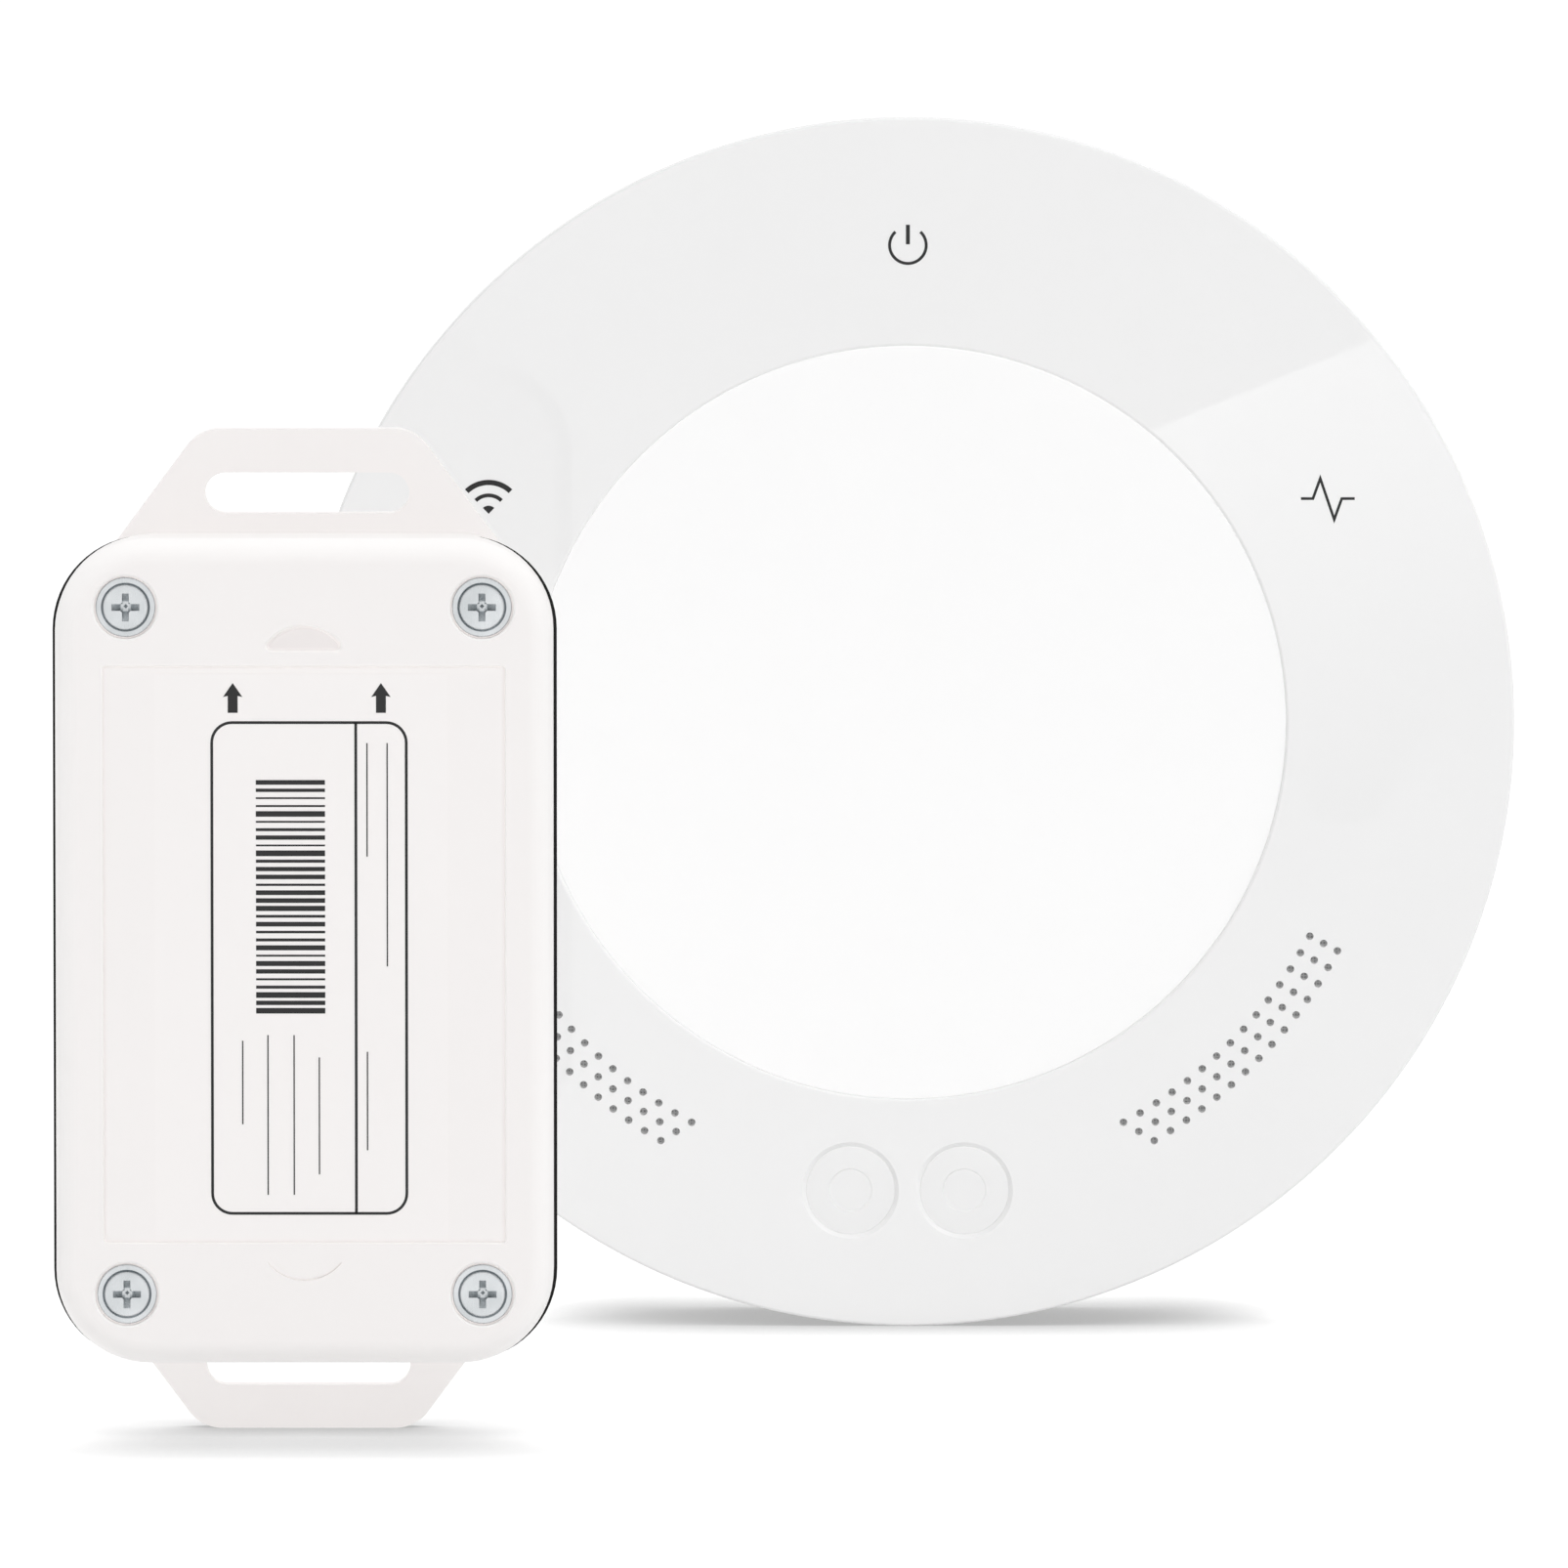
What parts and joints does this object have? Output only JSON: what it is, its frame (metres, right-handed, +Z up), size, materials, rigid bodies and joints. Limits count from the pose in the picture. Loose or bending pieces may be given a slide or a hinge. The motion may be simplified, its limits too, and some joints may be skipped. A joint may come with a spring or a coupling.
{
  "type": "garage door controller",
  "caption": "Round wall hub with a glossy ring face, push buttons, light symbols and speaker grilles, with a flat wireless door sensor that has strap tabs.",
  "frame": {"origin": "where the hub's axis meets the wall, on the flat of its back", "axes": "+Y out of the hub's back into the wall, so the ring faces -Y; +Z up; +X to the right as seen from the front"},
  "size_m": [0.1596, 0.1471, 0.135],
  "materials": {
    "shell_white": "fine satin",
    "ring_gloss": "glossy",
    "disc_white": "smooth satin",
    "button_white": "glossy",
    "tape_pale": "matte",
    "cloth_grey": "woven",
    "speaker_grey": "matte",
    "gasket_black": "matte",
    "switch_black": "satin",
    "pipe_clear": "clear",
    "led_yellow": "glossy",
    "board_green": "satin",
    "chip_black": "matte",
    "shield_tin": "satin",
    "relay_white": "satin",
    "terminal_green": "satin",
    "inlet_black": "satin",
    "contact_brass": "polished",
    "plated_steel": "plated",
    "case_white": "fine satin",
    "seal_black": "matte",
    "label_film": "smooth",
    "cell_steel": "satin"
  },
  "bodies": {
    "hub": {"rear_housing": "shell_white", "front_housing": "shell_white", "ring_fascia": "ring_gloss", "centre_disc": "disc_white", "fascia_tape": "tape_pale", "cloth_left": "cloth_grey", "cloth_right": "cloth_grey", "speaker_left": "speaker_grey", "speaker_right": "speaker_grey", "cone_left": "speaker_grey", "cone_right": "speaker_grey", "gasket_left": "gasket_black", "gasket_right": "gasket_black", "switch_left": "switch_black", "switch_right": "switch_black", "light_pipe_top": "pipe_clear", "light_pipe_left": "pipe_clear", "light_pipe_right": "pipe_clear", "status_leds": "led_yellow", "main_board": "board_green", "radio_module": "board_green", "processor": "chip_black", "memory_chips": "chip_black", "power_inductor": "chip_black", "radio_shield": "shield_tin", "capacitors": "shield_tin", "relay_1": "relay_white", "relay_2": "relay_white", "relay_3": "relay_white", "terminal_block": "terminal_green", "power_inlet": "inlet_black", "inlet_pin": "contact_brass", "terminal_screws": "plated_steel", "housing_screws": "plated_steel"},
    "left_button": {"button_left": "button_white", "plunger_left": "switch_black"},
    "right_button": {"button_right": "button_white", "plunger_right": "switch_black"},
    "sensor": {"sensor_base": "case_white", "sensor_cover": "case_white", "sensor_seal": "seal_black", "sensor_label": "label_film", "sensor_screws": "plated_steel", "sensor_board": "board_green", "sensor_board_screws": "plated_steel", "cell_holder": "chip_black", "coin_cell": "cell_steel", "cell_clip": "cell_steel", "tilt_can": "cell_steel", "tilt_plug": "chip_black", "sensor_radio": "chip_black", "sensor_antenna": "contact_brass"},
    "tilt_ball": {"tilt_ball": "contact_brass"}
  },
  "joints": [
    {"name": "left_button_press", "type": "slide", "parent": "hub", "child": "left_button", "axis": [0, 1, 0], "range_m": [0, 0.0006], "stiffness_N_per_m": 3000},
    {"name": "right_button_press", "type": "slide", "parent": "hub", "child": "right_button", "axis": [0, 1, 0], "range_m": [0, 0.0006], "stiffness_N_per_m": 3000},
    {"name": "sensor_slide", "type": "slide", "parent": "hub", "child": "sensor", "axis": [-1, 0, 0], "range_m": [0, 0.07]},
    {"name": "tilt_ball_roll", "type": "slide", "parent": "sensor", "child": "tilt_ball", "axis": [0, 0, 1], "range_m": [0, 0.00585]}
  ]
}
